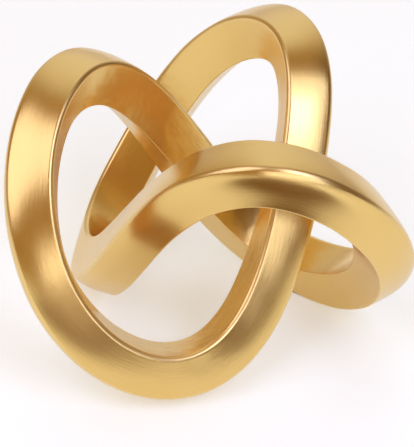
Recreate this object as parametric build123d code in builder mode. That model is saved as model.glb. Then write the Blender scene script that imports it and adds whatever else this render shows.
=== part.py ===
from build123d import *
import math
import os

# A standing trefoil knot of square metal bar, cast as three equal lobes that are joined end to end.
# Lengths are millimetres and angles are degrees. Each lobe runs through a phase from -180 to 180:
# it leaves one inner pass at -180, goes over its top near -90, round its tip at 0, under its
# bottom near 90 and into the next inner pass at 180.

# Path of the bar's centre line
mean_radius = 63.8       # mean distance from the knot's upright axis
reach = 24.3             # tips stand this far outside the mean radius, passes this far inside it
reach_skew = 1.6         # second-order change of that distance
climb = 53.6             # height of the tops above mid height, and depth of the bottoms below it
climb_skew = 4.5         # second-order change of that height
tip_lift = 6.6           # height of the tips above mid height, and depth of the passes below it
swing = 20.6             # turn that draws the tops and bottoms of a lobe in towards its tip
swing_lean = 3.6         # turn of the tips against the passes
swing_skew = 1.7         # second-order change of that turn
first_tip = 217.4        # azimuth of the left lobe's tip, from +X towards +Y

# Section of the bar, a square on its corner whose outer corner is broken, and its roll along the path
bar_side = 21.0
outer_edge_width = 3.4   # flat across the corner that faces away from the knot's axis
roll_mean = -11.8
roll_swing = 34.6
roll_skew = 13.7
sections_per_lobe = 36

# Joints at the inner passes: a square spigot in two cast sockets
spigot_side = 9.0
spigot_length = 24.0
spigot_chamfer = 0.8
socket_clearance = 0.05  # on each side of a spigot
socket_end_room = 0.5    # past each end of a spigot

# Feet: a flat ground under each lobe, with a felt strip stuck to it
grind_depth = 1.7
pad_length = 14.0
pad_width = 3.6
pad_thickness = 1.0

# The bar goes twice round the axis in its three lobes, named in the order in which it passes them
lobe_names = ("left", "rear", "right")
joint_names = ("right", "left", "rear")
lobe_turn = 2 * 360 / len(lobe_names)

# Corners of the section from the centre line: two at the outer edge, then lower, inner and upper
corner = bar_side / math.sqrt(2)
lower_corner = (0, corner)
section_corners = (
    (corner - outer_edge_width / 2, -outer_edge_width / 2),
    (corner - outer_edge_width / 2, outer_edge_width / 2),
    lower_corner,
    (-corner, 0),
    (0, -corner),
)


def centre_line(phase, lobe):
    """Point of the bar's centre line, from the knot's axis at mid height."""
    u = math.radians(phase)
    radius = mean_radius + reach * math.cos(u) + reach_skew * math.sin(2 * u)
    lean = swing * math.sin(u) + swing_lean * math.cos(u) - swing_skew * math.cos(2 * u)
    azimuth = math.radians(first_tip + lobe_turn * (lobe + phase / 360) - lean)
    height = tip_lift * math.cos(u) - climb * math.sin(u) + climb_skew * math.sin(2 * u)
    return Vector(radius * math.cos(azimuth), radius * math.sin(azimuth), height)


def section_plane(phase, lobe):
    """Plane across the bar, with Z along the bar and X rolled from outward to the outer edge."""
    step = 0.01
    here = centre_line(phase, lobe)
    along = (centre_line(phase + step, lobe) - centre_line(phase - step, lobe)).normalized()
    outward = Vector(here.X, here.Y, 0)
    outward = (outward - along * outward.dot(along)).normalized()
    u = math.radians(phase)
    roll = roll_mean + roll_swing * math.sin(u) - roll_skew * math.sin(2 * u)
    return Plane(here, x_dir=outward.rotate(Axis((0, 0, 0), along), roll), z_dir=along)


edge_points = [
    section_plane(phase, lobe).from_local_coords(point)
    for lobe in range(len(lobe_names))
    for phase in range(-180, 180)
    for point in section_corners
]


def farthest(*direction):
    """How far the bar reaches along a direction, from the knot's axis at mid height."""
    return max(point.dot(Vector(direction)) for point in edge_points)


# The knot stands with the middle of its bounding box over the origin and its pads on Z = 0
stand = Vector(
    (farthest(-1, 0, 0) - farthest(1, 0, 0)) / 2,
    (farthest(0, -1, 0) - farthest(0, 1, 0)) / 2,
    farthest(0, 0, -1) - grind_depth + pad_thickness,
)


def standing_plane(phase, lobe):
    """The same plane across the bar, where the knot stands."""
    plane = section_plane(phase, lobe)
    return Plane(plane.origin + stand, x_dir=plane.x_dir, z_dir=plane.z_dir)


def lower_edge_height(phase):
    """Height of a lobe's lower edge, from the knot's mid height."""
    return section_plane(phase, 0).from_local_coords(lower_corner).Z


foot_phase = min(range(180), key=lower_edge_height)
os.makedirs("parts", exist_ok=True)

# Lobes: a loft through the rolled sections, with a socket in each butt face and a flat underneath
feet = []
for lobe, side in enumerate(lobe_names):
    with BuildPart() as casting:
        for number in range(sections_per_lobe + 1):
            phase = number * 360 / sections_per_lobe - 180
            with BuildSketch(standing_plane(phase, lobe)):
                Polygon(*section_corners, align=None)
        loft()
        for phase, inward in ((-180, 1), (180, -1)):
            with BuildSketch(standing_plane(phase, lobe)):
                socket_side = spigot_side + 2 * socket_clearance
                Rectangle(socket_side, socket_side, rotation=45)
            extrude(amount=inward * (spigot_length / 2 + socket_end_room), mode=Mode.SUBTRACT)
        split(bisect_by=Plane.XY.offset(pad_thickness), keep=Keep.TOP)
        feet.append(casting.faces().sort_by(Axis.Z)[0].center())
    casting.part.label = f"{side}_lobe"
    export_step(casting.part, f"parts/{side}_lobe.step")

# Spigots: half in the lobe that ends at the joint and half in the one that starts there
for lobe, side in enumerate(joint_names):
    with BuildPart() as spigot:
        with BuildSketch(standing_plane(180, lobe)):
            Rectangle(spigot_side, spigot_side, rotation=45)
        extrude(amount=spigot_length / 2, both=True)
        chamfer(spigot.edges(), spigot_chamfer)
    spigot.part.label = f"{side}_spigot"
    export_step(spigot.part, f"parts/{side}_spigot.step")

# Felt pads: round-ended strips that lie along the bar under each ground flat
for lobe, side in enumerate(lobe_names):
    along = section_plane(foot_phase, lobe).z_dir
    underside = Plane((feet[lobe].X, feet[lobe].Y, 0), x_dir=(along.X, along.Y, 0), z_dir=(0, 0, 1))
    with BuildPart() as pad:
        with BuildSketch(underside):
            SlotOverall(pad_length, pad_width)
        extrude(amount=pad_thickness)
    pad.part.label = f"{side}_felt_pad"
    export_step(pad.part, f"parts/{side}_felt_pad.step")
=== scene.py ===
import math

import bpy
import numpy as np
from mathutils import Matrix, Vector


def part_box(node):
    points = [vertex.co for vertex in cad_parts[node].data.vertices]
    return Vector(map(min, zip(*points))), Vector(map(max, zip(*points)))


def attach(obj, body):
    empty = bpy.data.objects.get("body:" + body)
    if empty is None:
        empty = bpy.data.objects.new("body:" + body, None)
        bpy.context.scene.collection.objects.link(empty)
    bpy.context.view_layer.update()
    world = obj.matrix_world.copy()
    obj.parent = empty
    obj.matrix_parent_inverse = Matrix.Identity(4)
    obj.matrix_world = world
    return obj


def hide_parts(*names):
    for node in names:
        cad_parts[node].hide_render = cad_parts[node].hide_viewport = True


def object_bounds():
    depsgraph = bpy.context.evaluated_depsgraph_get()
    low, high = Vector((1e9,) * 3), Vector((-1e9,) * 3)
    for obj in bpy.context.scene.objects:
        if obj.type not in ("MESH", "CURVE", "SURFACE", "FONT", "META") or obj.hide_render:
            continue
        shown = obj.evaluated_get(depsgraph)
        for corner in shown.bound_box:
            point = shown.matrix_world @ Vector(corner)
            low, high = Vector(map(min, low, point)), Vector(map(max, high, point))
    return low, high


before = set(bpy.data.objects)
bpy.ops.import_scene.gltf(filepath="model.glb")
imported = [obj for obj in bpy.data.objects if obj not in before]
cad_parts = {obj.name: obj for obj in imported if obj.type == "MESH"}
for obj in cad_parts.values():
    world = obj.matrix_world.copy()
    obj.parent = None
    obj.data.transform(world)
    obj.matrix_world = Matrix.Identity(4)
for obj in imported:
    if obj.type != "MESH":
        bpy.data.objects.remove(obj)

cad_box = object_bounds()

# Lobes
# Three equal castings in aluminium, joined end to end at the knot's inner passes. The joints are
# dressed flush, then the whole bar is brushed along its length, plated satin gold and lacquered.

lobe_sides = ("left", "rear", "right")
lobe_count = len(lobe_sides)

# Path of the bar's centre line and roll of its section, as in the solids
mean_radius = 0.0638
reach = 0.0243
reach_skew = 0.0016
climb = 0.0536
climb_skew = 0.0045
tip_lift = 0.0066
swing = math.radians(20.6)
swing_lean = math.radians(3.6)
swing_skew = math.radians(1.7)
first_tip = math.radians(217.4)
roll_mean = math.radians(-11.8)
roll_swing = math.radians(34.6)
roll_skew = math.radians(13.7)

# Sharp section of the solids
bar_side = 0.021
outer_edge_width = 0.0034

# Dressed section: the points where its faces would meet, from the centre line towards the outer edge and
# the lower edge, then the radius of each edge and the crown angles of the face that follows it
outer_edge = (0.01343, -0.00036)
lower_edge = (-0.00025, 0.0146)
inner_edge = (-0.01489, 0.00076)
upper_edge = (-0.00081, -0.01616)
section_edges = np.array([outer_edge, lower_edge, inner_edge, upper_edge])
edge_radii = np.array([0.0032, 0.0010, 0.0006, 0.0022])
face_crowns = np.radians([[22, 6], [0, 0], [0, 0], [3.2, 7.5]])
inner_face_depth = 0.006

# Sockets for the spigots
socket_side = 0.0091
socket_depth = 0.0125
socket_rounding = 0.0002

# Swells of the dressing: how their waves run, in radians a metre, and how high each wave is
swell_waves = np.array([[210, 60, -95], [-120, 190, 70], [80, -150, 220], [260, 140, 110], [-90, -230, 160]])
swell_height = 0.000028

# Fineness of the mesh
arc_points = 11
face_points = 17
rings_per_lobe = 420

# Colours of the gold, and how rough the bare metal is, with what the brushing and the edges add
deep_gold = (0.82, 0.565, 0.18, 1)
bright_gold = (0.88, 0.61, 0.21, 1)
edge_gold = (0.92, 0.72, 0.36, 1)
edge_paling = 0.35
satin_roughness = 0.21
brushing_roughness = 0.07
edge_roughness = 0.08
lacquer_weight = 0.2
lacquer_roughness = 0.2

# Cells of its noises in a metre, for the brushing along the bar and across it, and their depths
brushing_cells = (140, 1100, 1100)
brushing_depth = 0.00003
patch_cells = 28.0
dimple_cells = 150.0
dimple_depth = 0.0006
dimple_outside_share = 0.1


def centre_line(u, lobe):
    """The knot's path: a circle round the upright axis, gone round twice in three lobes, whose radius,
    turn and height each swing with the phase u of the lobe and a little with its double."""
    radius = mean_radius + reach * np.cos(u) + reach_skew * np.sin(2 * u)
    lean = swing * np.sin(u) + swing_lean * np.cos(u) - swing_skew * np.cos(2 * u)
    azimuth = first_tip + 2 * (2 * np.pi * lobe + u) / lobe_count - lean
    height = tip_lift * np.cos(u) - climb * np.sin(u) + climb_skew * np.sin(2 * u)
    return np.stack([radius * np.cos(azimuth), radius * np.sin(azimuth), height], axis=-1)


def unit(vectors):
    """Each vector divided by its length."""
    return vectors / np.linalg.norm(vectors, axis=-1, keepdims=True)


def section_axes(u, lobe):
    """Centre of each section, the axis to its outer edge, the axis to its lower edge, and the way along.
    The outward direction is made square to the path, then rolled about it."""
    step = 1e-4
    here = centre_line(u, lobe)
    along = unit(centre_line(u + step, lobe) - centre_line(u - step, lobe))
    outward = here * [1, 1, 0]
    outward = unit(outward - np.sum(outward * along, axis=-1, keepdims=True) * along)
    roll = (roll_mean + roll_swing * np.sin(u) - roll_skew * np.sin(2 * u))[:, None]
    outer = np.cos(roll) * outward + np.sin(roll) * np.cross(along, outward)
    return here, outer, np.cross(along, outer), along


def heading_vector(angle):
    """Unit vector in the section at an angle from the axis to the outer edge."""
    return np.stack([np.cos(angle), np.sin(angle)], axis=-1)


def section_outline(edges, radii, crowns):
    """A four-sided section: each edge is an arc of its own radius, and each face a cubic curve that
    leaves the straight line between two edges by the crown angles at its start and its end."""
    chord = np.roll(edges, -1, axis=0) - edges
    heading = np.arctan2(chord[:, 1], chord[:, 0])
    leave = heading - crowns[:, 0]
    arrive = np.roll(heading + crowns[:, 1], 1)
    bend = (leave - arrive) % (2 * np.pi)
    start = edges - (radii * np.tan(bend / 2))[:, None] * heading_vector(arrive)
    middle = start + radii[:, None] * np.stack([-np.sin(arrive), np.cos(arrive)], axis=-1)
    sweep = arrive[:, None] + bend[:, None] * np.linspace(0, 1, arc_points)
    arcs = middle[:, None] + radii[:, None, None] * np.stack([np.sin(sweep), -np.cos(sweep)], axis=-1)
    first = arcs[:, -1:]
    last = np.roll(arcs[:, :1], -1, axis=0)
    span = np.linalg.norm(last - first, axis=-1, keepdims=True)
    set_off = span * heading_vector(leave)[:, None]
    come_in = span * np.roll(heading_vector(arrive), -1, axis=0)[:, None]
    t = np.linspace(0, 1, face_points + 2)[1:-1, None]
    faces = ((2 * t ** 3 - 3 * t ** 2 + 1) * first + (t ** 3 - 2 * t ** 2 + t) * set_off
             + (3 * t ** 2 - 2 * t ** 3) * last + (t ** 3 - t ** 2) * come_in)
    return np.concatenate([arcs, faces], axis=1).reshape(-1, 2)


def bar_surface(u, lobe, outline):
    """The outline carried along the path: each point is the section's centre plus the outline's two
    coordinates along the section's outer and lower axes."""
    here, outer, lower, along = section_axes(u, lobe)
    return here[:, None] + outline[None, :, :1] * outer[:, None] + outline[None, :, 1:] * lower[:, None]


def surface_normal(rings):
    """Outward normal at each point of the bar: the step round its ring crossed with the step along."""
    around_step = np.roll(rings, -1, axis=1) - np.roll(rings, 1, axis=1)
    return unit(np.cross(around_step, np.gradient(rings, axis=0)))


def hand_dressing(points):
    """Shallow swells left by dressing by hand: a sum of slow waves through space, in metres."""
    phases = np.arange(len(swell_waves))
    return swell_height * np.sum(np.sin(points @ swell_waves.T + phases) - 1, axis=-1, keepdims=True)


def capped_tube(name, rings):
    """Closed mesh of quads between each ring of points and the next, with one face over each end ring.
    Also gives the corner numbers of the quads."""
    place = np.arange(rings.shape[0] * rings.shape[1]).reshape(rings.shape[:2])
    beside = np.roll(place, -1, axis=1)
    quads = np.stack([place[:-1], beside[:-1], beside[1:], place[1:]], axis=-1).reshape(-1, 4)
    mesh = bpy.data.meshes.new(name)
    mesh.from_pydata(rings.reshape(-1, 3).tolist(), [],
                     quads.tolist() + [place[0, ::-1].tolist(), place[-1].tolist()])
    return mesh, quads


# The knot's axis stands where it does in the solids: their box is the box of the sharp section's corners
corner = bar_side / math.sqrt(2)
lower_corner = (0, corner)
sharp_corners = np.array([(corner - outer_edge_width / 2, -outer_edge_width / 2),
                          (corner - outer_edge_width / 2, outer_edge_width / 2),
                          lower_corner, (-corner, 0), (0, -corner)])
whole_turn = np.radians(np.arange(-180, 180))
sharp_edges = np.concatenate([bar_surface(whole_turn, lobe, sharp_corners).reshape(-1, 3)
                              for lobe in range(lobe_count)])
cad_low = np.array(cad_box[0])
cad_high = np.array(cad_box[1])
stand = (cad_low + cad_high) / 2 - (sharp_edges.min(axis=0) + sharp_edges.max(axis=0)) / 2
stand[2] = cad_high[2] - sharp_edges[:, 2].max()
foot_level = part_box("left_felt_pad")[1].z

bar_outline = section_outline(section_edges, edge_radii, face_crowns)
socket_edges = socket_side / math.sqrt(2) * np.array([[1, 0], [0, 1], [-1, 0], [0, -1]])
socket_outline = section_outline(socket_edges, np.full(4, socket_rounding), np.zeros((4, 2)))
around = len(bar_outline)

# Places round the section: the turn by distance round it, and the shares of edge and of inner face
outline_step = np.linalg.norm(np.roll(bar_outline, -1, axis=0) - bar_outline, axis=1)
girth = outline_step.sum()
girth_angle = 2 * np.pi * (np.cumsum(outline_step) - outline_step) / girth
girth_radius = girth / (2 * np.pi)
edge_rise = np.sin(np.linspace(0, np.pi, arc_points))
edge_share = np.tile(np.concatenate([edge_rise, np.zeros(face_points)]), len(section_edges))
inside_share = np.clip(-bar_outline[:, 0] / inner_face_depth, 0, 1)


def lobe_mesh(side, lobe):
    """Closed casting: rings along the bar from butt face to butt face, then the butt faces, the socket
    walls and the socket floors. Normals follow the surface across the joints."""
    u = np.linspace(-np.pi, np.pi, rings_per_lobe + 1)
    step = u[1] - u[0]
    u_wide = np.concatenate([[u[0] - step], u, [u[-1] + step]])
    plain = bar_surface(u_wide, lobe, bar_outline)
    skin = plain + surface_normal(plain) * hand_dressing(plain)
    normal = surface_normal(skin)[1:-1]
    skin = skin[1:-1] + stand
    ground = skin[..., 2] < foot_level
    skin[..., 2] = np.maximum(skin[..., 2], foot_level)

    ends = np.array([-np.pi, np.pi])
    along = section_axes(ends, lobe)[3]
    mouths = bar_surface(ends, lobe, socket_outline) + stand
    floors = mouths + socket_depth * np.array([1, -1])[:, None, None] * along[:, None]
    rings = np.concatenate([floors[:1], mouths[:1], skin, mouths[1:], floors[1:]])
    mesh, quads = capped_tube(f"{side}_casting", rings)

    # Each corner takes its quad's own normal, apart from those of the skin above the ground flat
    corners = rings.reshape(-1, 3)[quads]
    flat = unit(np.cross(corners[:, 2] - corners[:, 0], corners[:, 3] - corners[:, 1]))
    loop_normal = np.repeat(flat[:, None], 4, axis=1)
    smooth = np.zeros(rings.shape[:2], bool)
    smooth[2:-2] = ~ground
    ring_normal = np.zeros_like(rings)
    ring_normal[2:-2] = normal
    on_skin = np.zeros((len(rings) - 1, around), bool)
    on_skin[2:-2] = True
    take = on_skin.reshape(-1, 1) & smooth.reshape(-1)[quads]
    loop_normal[take] = ring_normal.reshape(-1, 3)[quads][take]
    floor_normal = np.concatenate([np.tile(-along[0], (around, 1)), np.tile(along[1], (around, 1))])
    mesh.polygons.foreach_set("use_smooth", np.ones(len(mesh.polygons), bool))
    mesh.normals_split_custom_set(np.concatenate([loop_normal.reshape(-1, 3), floor_normal]).tolist())

    # Place on the bar: the distance along it, then a circle as long as the section's girth
    length = np.linalg.norm(np.diff(centre_line(u, lobe), axis=0), axis=1)
    travel = np.concatenate([[0], np.cumsum(length)]) + lobe * length.sum()
    travel = np.concatenate([travel[:1], travel[:1], travel, travel[-1:], travel[-1:]])
    bar_place = np.stack(np.broadcast_arrays(travel[:, None], girth_radius * np.cos(girth_angle),
                                             girth_radius * np.sin(girth_angle)), axis=-1)
    mesh.attributes.new("bar_place", "FLOAT_VECTOR", "POINT").data.foreach_set("vector", bar_place.ravel())
    for name, share in (("edge", edge_share), ("inside", inside_share)):
        values = np.broadcast_to(share, rings.shape[:2]).ravel()
        mesh.attributes.new(name, "FLOAT", "POINT").data.foreach_set("value", values)
    return mesh


class Signal:
    """A node socket that Python expressions can use: each operator adds one Math node to its tree."""

    def __init__(self, tree, socket=None):
        self.tree = tree
        self.socket = socket

    def node(self, kind, settings=None, inputs=None, output=0):
        """Adds a node. Its settings are set first, then each input gets its value or its link."""
        made = self.tree.nodes.new(kind)
        for name, value in (settings or {}).items():
            setattr(made, name, value)
        for name, value in (inputs or {}).items():
            if isinstance(value, Signal):
                value.feed(made, name)
            else:
                made.inputs[name].default_value = value
        return Signal(self.tree, made.outputs[output])

    def feed(self, node, name):
        """Links this socket to one of a node's inputs."""
        self.tree.links.new(self.socket, node.inputs[name])

    def blend(self, share, first, second):
        """A colour that goes from the first to the second as the share goes from 0 to 1."""
        return self.node("ShaderNodeMix", {"data_type": "RGBA"}, {0: share, 6: first, 7: second}, output=2)

    def math(self, operation, first, second):
        """A Math node on two values."""
        return self.node("ShaderNodeMath", {"operation": operation}, {0: first, 1: second})

    def __add__(self, other):
        return self.math("ADD", self, other)

    def __radd__(self, other):
        return self.math("ADD", other, self)

    def __rsub__(self, other):
        return self.math("SUBTRACT", other, self)

    def __mul__(self, other):
        return self.math("MULTIPLY", self, other)

    def __rmul__(self, other):
        return self.math("MULTIPLY", other, self)

    def __pow__(self, other):
        return self.math("POWER", self, other)


def new_finish(name):
    """A material with its Principled shader, and a Signal to build its nodes from."""
    material = bpy.data.materials.new(name)
    material.use_nodes = True
    return material, material.node_tree.nodes["Principled BSDF"], Signal(material.node_tree)


def satin_gold():
    """Plated gold under a satin lacquer: brushed along the bar, deeper in patches, paler and duller on
    its edges, and faintly dimpled, mostly on the inner faces."""
    material, shader, start = new_finish("satin_gold")
    bar_place = start.node("ShaderNodeAttribute", {"attribute_name": "bar_place"}, output="Vector")
    edge = start.node("ShaderNodeAttribute", {"attribute_name": "edge"}, output="Fac")
    inside = start.node("ShaderNodeAttribute", {"attribute_name": "inside"}, output="Fac")
    position = start.node("ShaderNodeTexCoord", output="Object")
    stretch = start.node("ShaderNodeVectorMath", {"operation": "MULTIPLY"}, {0: bar_place, 1: brushing_cells})
    brushing = start.node("ShaderNodeTexNoise", None,
                          {"Vector": stretch, "Scale": 1.0, "Detail": 3.0, "Roughness": 0.6})
    patches = start.node("ShaderNodeTexNoise", None,
                         {"Vector": position, "Scale": patch_cells, "Detail": 2.0})
    colour = start.blend(patches, deep_gold, bright_gold)
    colour = start.blend(edge * edge_paling, colour, edge_gold)
    roughness = satin_roughness + brushing_roughness * brushing + edge_roughness * edge
    swells = start.node("ShaderNodeTexNoise", None,
                        {"Vector": position, "Scale": dimple_cells, "Detail": 1.0})
    swells = swells * (dimple_outside_share + (1 - dimple_outside_share) * inside)
    dimples = start.node("ShaderNodeBump", None,
                         {"Strength": 0.3, "Distance": dimple_depth, "Height": swells})
    grain = start.node("ShaderNodeBump", None,
                       {"Strength": 1.0, "Distance": brushing_depth, "Height": brushing, "Normal": dimples})
    colour.feed(shader, "Base Color")
    roughness.feed(shader, "Roughness")
    grain.feed(shader, "Normal")
    shader.inputs["Metallic"].default_value = 1.0
    shader.inputs["Coat Weight"].default_value = lacquer_weight
    shader.inputs["Coat Roughness"].default_value = lacquer_roughness
    return material


gold = satin_gold()
for lobe, side in enumerate(lobe_sides):
    casting = bpy.data.objects.new(f"{side}_casting", lobe_mesh(side, lobe))
    casting.data.materials.append(gold)
    bpy.context.collection.objects.link(casting)
    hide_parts(f"{side}_lobe")
    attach(casting, "root")

# Spigots
# Short lengths of bright drawn square steel bar, one in each joint, bonded into the cast sockets of
# the two lobes that meet there. They are wholly inside the knot.

steel_grey = (0.50, 0.51, 0.52, 1)
steel_bloom = (0.66, 0.66, 0.67, 1)
steel_roughness = 0.25
bloom_roughness = 0.2
bloom_cells = 400.0


def drawn_steel():
    """Bright drawn bar: grey metal with a fine paler bloom, duller where the bloom lies."""
    material, shader, start = new_finish("drawn_steel")
    position = start.node("ShaderNodeTexCoord", output="Object")
    bloom = start.node("ShaderNodeTexNoise", None, {"Vector": position, "Scale": bloom_cells, "Detail": 4.0})
    colour = start.blend(bloom, steel_grey, steel_bloom)
    roughness = steel_roughness + bloom_roughness * bloom
    colour.feed(shader, "Base Color")
    roughness.feed(shader, "Roughness")
    shader.inputs["Metallic"].default_value = 1.0
    return material


steel = drawn_steel()
for side in lobe_sides:
    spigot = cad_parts[f"{side}_spigot"]
    spigot.data.materials.clear()
    spigot.data.materials.append(steel)

# Felt pads
# Die-cut strips of dense brown wool felt, stuck under the flat that is ground on each low bend, so
# that the casting doesn't mark the furniture it stands on.

pad_length = 0.014
pad_width = 0.0036
pad_edge = 0.00025
pad_end_points = 25
pad_edge_rings = 9
dark_felt = (0.13, 0.085, 0.05, 1)
pale_felt = (0.32, 0.23, 0.15, 1)
fibre_cells = 2600.0
fibre_depth = 0.0002


def pad_mesh(side, lobe):
    """A round-ended strip: two half circles joined by straights, carried up a profile with soft edges.
    It lies along the bar where the bar's lower edge is lowest."""
    low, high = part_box(f"{side}_felt_pad")
    foot_turn = np.radians(np.arange(180))
    lower = bar_surface(foot_turn, lobe, np.array([lower_corner]))[:, 0, 2]
    way = section_axes(foot_turn[[lower.argmin()]], lobe)[3][0]
    lengthways = unit(way * [1, 1, 0])
    crossways = np.array([-lengthways[1], lengthways[0], 0])
    half = np.linspace(-np.pi / 2, np.pi / 2, pad_end_points)
    turn = np.concatenate([half, half + np.pi])
    rim = pad_width / 2
    shift = (pad_length / 2 - rim) * np.repeat([1, -1], pad_end_points)
    curl = np.linspace(-np.pi / 2, np.pi / 2, pad_edge_rings)
    inset = pad_edge * (1 - np.cos(curl))
    level = np.where(curl < 0, pad_edge * (1 + np.sin(curl)), high.z - low.z - pad_edge * (1 - np.sin(curl)))
    radius = rim - inset
    x = shift + radius[:, None] * np.cos(turn)
    y = radius[:, None] * np.sin(turn)
    middle = np.array([(low.x + high.x) / 2, (low.y + high.y) / 2, low.z])
    rings = middle + x[..., None] * lengthways + y[..., None] * crossways + level[:, None, None] * [0, 0, 1]
    return capped_tube(f"{side}_felt", rings)[0]


def wool_felt():
    """Matted fibres: a fine tangle that varies the brown and roughens the surface."""
    material, shader, start = new_finish("wool_felt")
    position = start.node("ShaderNodeTexCoord", output="Object")
    fibres = start.node("ShaderNodeTexNoise", None,
                        {"Vector": position, "Scale": fibre_cells, "Detail": 5.0, "Distortion": 2.0})
    colour = start.blend(fibres, dark_felt, pale_felt)
    fuzz = start.node("ShaderNodeBump", None, {"Strength": 0.6, "Distance": fibre_depth, "Height": fibres})
    colour.feed(shader, "Base Color")
    fuzz.feed(shader, "Normal")
    shader.inputs["Roughness"].default_value = 0.95
    return material


felt = wool_felt()
for lobe, side in enumerate(lobe_sides):
    pad = bpy.data.objects.new(f"{side}_felt", pad_mesh(side, lobe))
    pad.data.materials.append(felt)
    bpy.context.collection.objects.link(pad)
    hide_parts(f"{side}_felt_pad")
    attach(pad, "root")

# Studio
# A white table top, lit by a large softbox on the left, another on the right with a hotter middle, and
# a low strip in front. A pale wall stands behind, in a dim warm room that is darker to the right.

table_reach = 6.0
table_white = (0.89, 0.97, 0.91, 1)
shade_brown = (0.20, 0.105, 0.02, 1)
shade_middle = (0.055, -0.9, 0)
shade_reach = (0.30, 0.755, 1)
shade_rim = 1.04
shade_core = 0.90
lift_seen = 0.33
lift_mirrored = 0.24


def white_table():
    """White board, lifted a little to the eye and in reflections. An oval patch of it in front of the
    knot is dark in what the gold mirrors and in the light that it throws back, but not to the eye."""
    material, shader, start = new_finish("white_table")
    position = start.node("ShaderNodeTexCoord", output="Object")
    aside = start.node("ShaderNodeVectorMath", {"operation": "SUBTRACT"}, {0: position, 1: shade_middle})
    aside = start.node("ShaderNodeVectorMath", {"operation": "DIVIDE"}, {0: aside, 1: shade_reach})
    aside = start.node("ShaderNodeVectorMath", {"operation": "LENGTH"}, {0: aside}, output="Value")
    dim = start.node("ShaderNodeMapRange", {"interpolation_type": "SMOOTHSTEP"},
                     {"Value": aside, "From Min": shade_rim, "From Max": shade_core})
    seen = start.node("ShaderNodeLightPath", output="Is Camera Ray")
    mirrored = start.node("ShaderNodeLightPath", output="Is Glossy Ray")
    through = start.node("ShaderNodeLightPath", output="Is Transmission Ray")
    dim = dim * (1 - seen)
    colour = start.blend(dim, table_white, shade_brown)
    lift = (1 - dim) * (lift_seen * seen + lift_mirrored * mirrored + lift_mirrored * through)
    colour.feed(shader, "Base Color")
    lift.feed(shader, "Emission Color")
    shader.inputs["Roughness"].default_value = 0.6
    shader.inputs["Specular IOR Level"].default_value = 0.2
    shader.inputs["Emission Strength"].default_value = 1.0
    return material


table_mesh = bpy.data.meshes.new("table_top")
table_mesh.from_pydata([(-table_reach, -table_reach, 0), (table_reach, -table_reach, 0),
                        (table_reach, table_reach, 0), (-table_reach, table_reach, 0)], [], [(0, 1, 2, 3)])
table_mesh.materials.append(white_table())
table_top = bpy.data.objects.new("table_top", table_mesh)
bpy.context.collection.objects.link(table_top)

lamp_distance = 2.4
cool_white = (0.93, 1.0, 1.5)
core_white = (0.95, 1.0, 1.5)
strip_white = (0.93, 1.0, 1.4)


def softbox(name, azimuth, elevation, tilt, width, height, radiance, colour):
    """A flat lamp that faces the knot. Azimuth runs from straight behind the knot towards the right, and
    the lamp's power is its radiance times pi times its area."""
    turn = math.radians(azimuth)
    rise = math.radians(elevation)
    toward = Vector((math.sin(turn) * math.cos(rise), math.cos(turn) * math.cos(rise), math.sin(rise)))
    lamp = bpy.data.lights.new(name, "AREA")
    lamp.shape = "RECTANGLE"
    lamp.size = width
    lamp.size_y = height
    lamp.energy = radiance * math.pi * width * height
    lamp.color = colour
    holder = bpy.data.objects.new(name, lamp)
    facing = toward.to_track_quat("Z", "Y").to_matrix().to_4x4()
    facing = facing @ Matrix.Rotation(math.radians(tilt), 4, "Z")
    holder.matrix_world = Matrix.Translation(Vector(stand) + toward * lamp_distance) @ facing
    bpy.context.collection.objects.link(holder)


softbox("left_softbox", azimuth=-126, elevation=45, tilt=0, width=1.85, height=2.1, radiance=1.36,
        colour=cool_white)
softbox("right_softbox", azimuth=138, elevation=44, tilt=-35, width=1.45, height=2.3, radiance=1.46,
        colour=cool_white)
softbox("right_core", azimuth=141, elevation=45, tilt=-35, width=0.55, height=0.9, radiance=2.2,
        colour=core_white)
softbox("low_softbox", azimuth=162, elevation=12, tilt=0, width=2.2, height=0.72, radiance=1.5,
        colour=strip_white)

wall_pale = (0.86, 0.85, 0.92, 1)
room_warm = (0.36, 0.205, 0.04, 1)
room_dark = (0.15, 0.075, 0.012, 1)
wall_way = (0.05, 1, 0)
wall_narrowing = 3
wall_foot_share = 0.6
wall_full_rise = 0.35
dark_way = (1, -0.1, 0)
dark_start = 0.3
dark_full = 0.65

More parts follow.
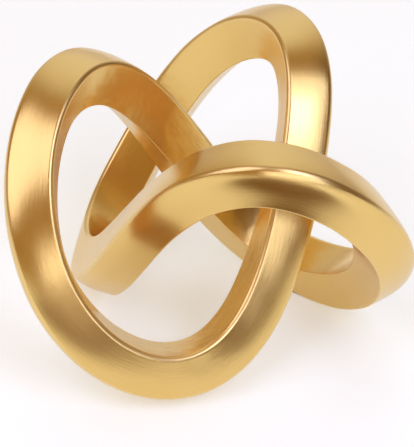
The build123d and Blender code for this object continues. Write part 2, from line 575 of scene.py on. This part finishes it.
room = bpy.data.worlds.new("room")
bpy.context.scene.world = room
room.use_nodes = True
surround = Signal(room.node_tree)
direction = surround.node("ShaderNodeTexCoord", output="Generated")
level = surround.node("ShaderNodeVectorMath", {"operation": "MULTIPLY"}, {0: direction, 1: (1, 1, 0)})
level = surround.node("ShaderNodeVectorMath", {"operation": "NORMALIZE"}, {0: level})
to_back = surround.node("ShaderNodeVectorMath", {"operation": "DOT_PRODUCT"},
                        {0: level, 1: wall_way}, output="Value")
to_back = surround.node("ShaderNodeClamp", None, {"Value": to_back})
upward = surround.node("ShaderNodeVectorMath", {"operation": "DOT_PRODUCT"},
                       {0: direction, 1: (0, 0, 1)}, output="Value")
height = surround.node("ShaderNodeMapRange", None,
                       {"Value": upward, "From Max": wall_full_rise, "To Min": wall_foot_share})
to_right = surround.node("ShaderNodeVectorMath", {"operation": "DOT_PRODUCT"},
                         {0: direction, 1: dark_way}, output="Value")
dark = surround.node("ShaderNodeMapRange", {"interpolation_type": "SMOOTHSTEP"},
                     {"Value": to_right, "From Min": dark_start, "From Max": dark_full})
room_colour = surround.blend(dark, room_warm, room_dark)
surfaces = surround.blend(to_back ** wall_narrowing * height, room_colour, wall_pale)
surfaces.feed(room.node_tree.nodes["Background"], "Color")

# Camera
# A long lens that looks down on the knot from the front, rolled a little. The focal length is in
# pixels of a picture 447 pixels high.

photo_height = 447
photo_focal = 2377.6
camera_azimuth = math.radians(1.07)
camera_elevation = math.radians(36.41)
camera_roll = math.radians(4.09)
camera_distance = 1.0786
camera_offset = (0.001937, -0.012668)

lens = bpy.data.cameras.new("camera")
lens.sensor_width = 36.0
lens.lens = lens.sensor_width * photo_focal / photo_height
camera = bpy.data.objects.new("camera", lens)
turn = (Matrix.Rotation(-camera_azimuth, 4, "Z") @ Matrix.Rotation(math.pi / 2 - camera_elevation, 4, "X")
        @ Matrix.Rotation(camera_roll, 4, "Z"))
camera.matrix_world = (Matrix.Translation(Vector(stand)) @ turn
                       @ Matrix.Translation((*camera_offset, camera_distance)))
bpy.context.collection.objects.link(camera)
bpy.context.scene.camera = camera
bpy.context.scene.view_settings.view_transform = "Standard"
